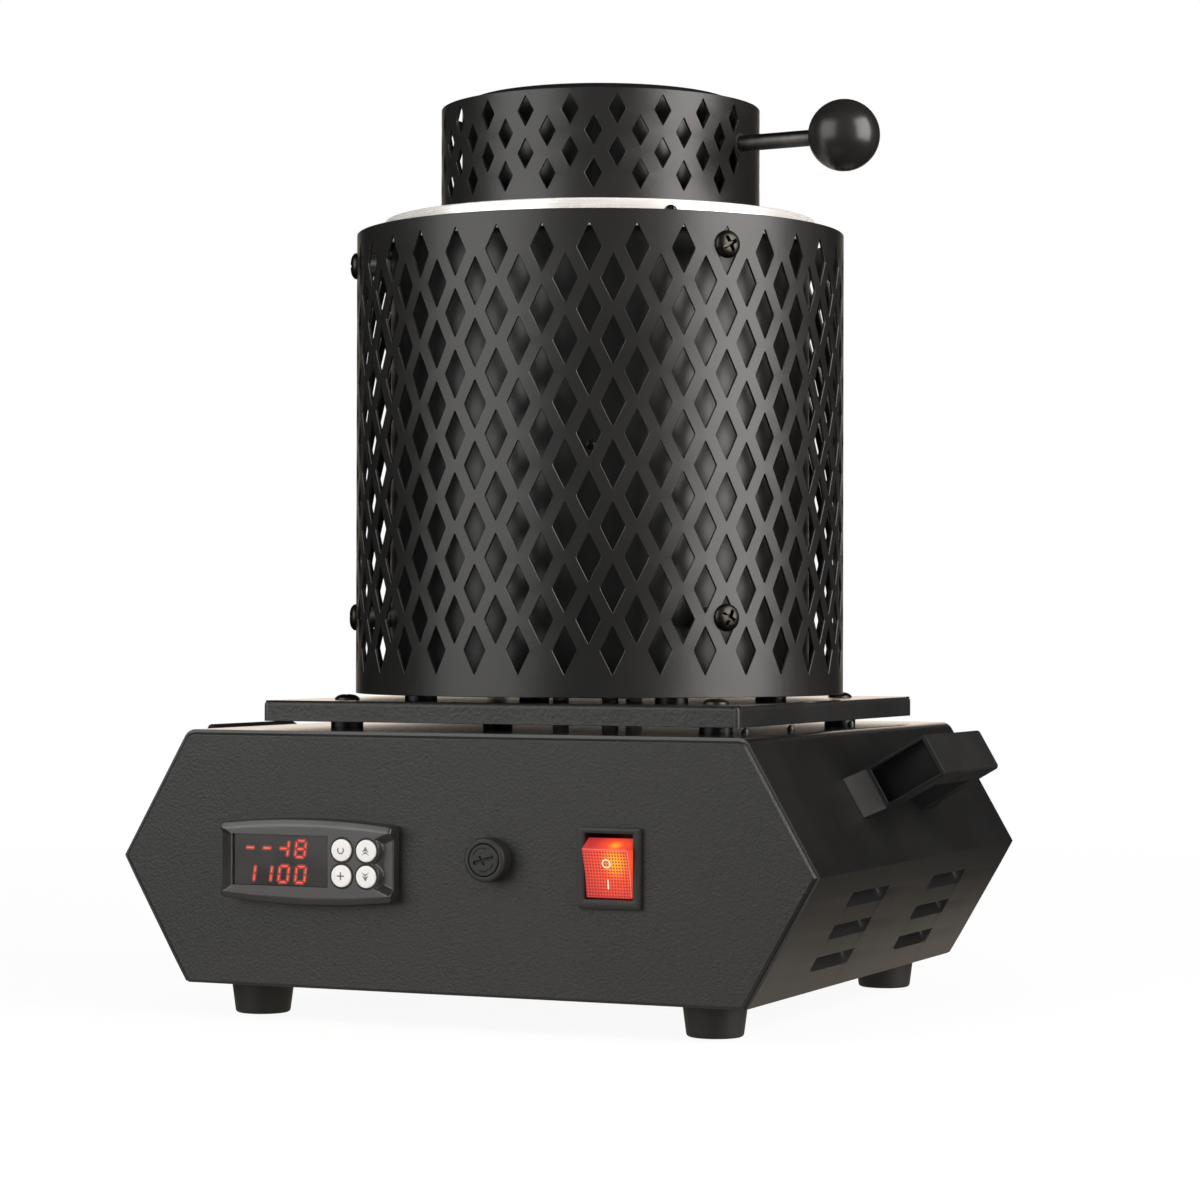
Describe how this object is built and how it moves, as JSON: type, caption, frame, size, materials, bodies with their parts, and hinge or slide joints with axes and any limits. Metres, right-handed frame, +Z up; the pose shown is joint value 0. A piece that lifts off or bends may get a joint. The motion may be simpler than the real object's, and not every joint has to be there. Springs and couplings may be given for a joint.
{
  "type": "electric gold melting furnace",
  "caption": "Benchtop electric melting furnace: a six-sided control box with side handles carries a round body in a diamond-pierced guard with a swing-aside lid.",
  "frame": {"origin": "centre of the bounding box at the plane that the rubber feet stand on", "axes": "+X to the right seen from the front, -Y to the front with the controls, +Z up along the furnace axis"},
  "size_m": [0.34, 0.2638, 0.38],
  "materials": {
    "powder_coat": "fine textured black powder coat",
    "guard_coat": "satin black coat",
    "dark_sheet": "matt heat-proof black",
    "stainless": "brushed",
    "zinc": "zinc plated",
    "black_screw": "black oxide",
    "rubber": "matt",
    "black_plastic": "fine texture",
    "gloss_black": "gloss",
    "button_grey": "satin",
    "smoked_window": "smoked, gloss",
    "rocker_red": "lit translucent red",
    "brass": "plain",
    "copper_pin": "tinned",
    "fuse_glass": "clear",
    "alloy": "extruded",
    "ceramic": "matt fired ceramic",
    "fibre_board": "pressed ceramic fibre",
    "graphite": "matt graphite"
  },
  "bodies": {
    "furnace": {"base_cover": "powder_coat", "front_panel": "powder_coat", "rear_panel": "powder_coat", "bottom_plate": "powder_coat", "rubber_feet": "rubber", "carry_handle_left": "black_plastic", "carry_handle_right": "black_plastic", "controller_housing": "black_plastic", "controller_clip": "zinc", "display_window": "smoked_window", "fuse_holder": "black_plastic", "fuse_nut": "black_plastic", "switch_housing": "black_plastic", "switch_terminals": "brass", "power_inlet": "black_plastic", "inlet_pins": "copper_pin", "inlet_screws": "zinc", "solid_state_relay": "black_plastic", "heat_sink": "alloy", "terminal_block": "black_plastic", "terminal_bracket": "zinc", "bracket_screws": "zinc", "support_plate": "powder_coat", "plate_spacers": "zinc", "plate_bolts": "black_screw", "body_spacers": "zinc", "casing": "dark_sheet", "casing_rivet": "black_screw", "top_ring": "stainless", "ring_screws": "black_screw", "guard": "guard_coat", "guard_screws": "black_screw", "guard_spacers": "zinc", "insulation": "fibre_board", "muffle": "ceramic", "crucible": "graphite", "crucible_seat": "ceramic", "heater_leads": "ceramic", "thermocouple": "ceramic", "pivot_post": "zinc"},
    "lid": {"lid_wall": "guard_coat", "lid_can": "dark_sheet", "lid_refractory": "fibre_board", "lid_rod": "zinc", "ball_knob": "gloss_black", "lid_hinge_arm": "dark_sheet"},
    "rocker": {"switch_rocker": "rocker_red"},
    "fuse_drawer": {"fuse_cap": "black_plastic", "glass_fuse": "fuse_glass"},
    "button_menu": {"button_menu": "button_grey"},
    "button_up": {"button_up": "button_grey"},
    "button_set": {"button_set": "button_grey"},
    "button_down": {"button_down": "button_grey"}
  },
  "joints": [
    {"name": "lid_swing", "type": "hinge", "parent": "furnace", "child": "lid", "pos_m": [0, 0.0945, 0.33], "axis": [0, 0, 1], "range_deg": [0, 120]},
    {"name": "switch_rock", "type": "hinge", "parent": "furnace", "child": "rocker", "pos_m": [0.0658, -0.1215, 0.0648], "axis": [-1, 0, 0], "range_deg": [0, 28]},
    {"name": "fuse_cap_turn", "type": "hinge", "parent": "furnace", "child": "fuse_drawer", "pos_m": [0.0156, -0.132, 0.0668], "axis": [0, 1, 0], "range_deg": [0, 90]},
    {"name": "button_menu_press", "type": "slide", "parent": "furnace", "child": "button_menu", "axis": [0, 1, 0], "range_m": [0, 0.0012], "stiffness_N_per_m": 400, "springref_m": -0.0005},
    {"name": "button_up_press", "type": "slide", "parent": "furnace", "child": "button_up", "axis": [0, 1, 0], "range_m": [0, 0.0012], "stiffness_N_per_m": 400, "springref_m": -0.0005},
    {"name": "button_set_press", "type": "slide", "parent": "furnace", "child": "button_set", "axis": [0, 1, 0], "range_m": [0, 0.0012], "stiffness_N_per_m": 400, "springref_m": -0.0005},
    {"name": "button_down_press", "type": "slide", "parent": "furnace", "child": "button_down", "axis": [0, 1, 0], "range_m": [0, 0.0012], "stiffness_N_per_m": 400, "springref_m": -0.0005}
  ]
}
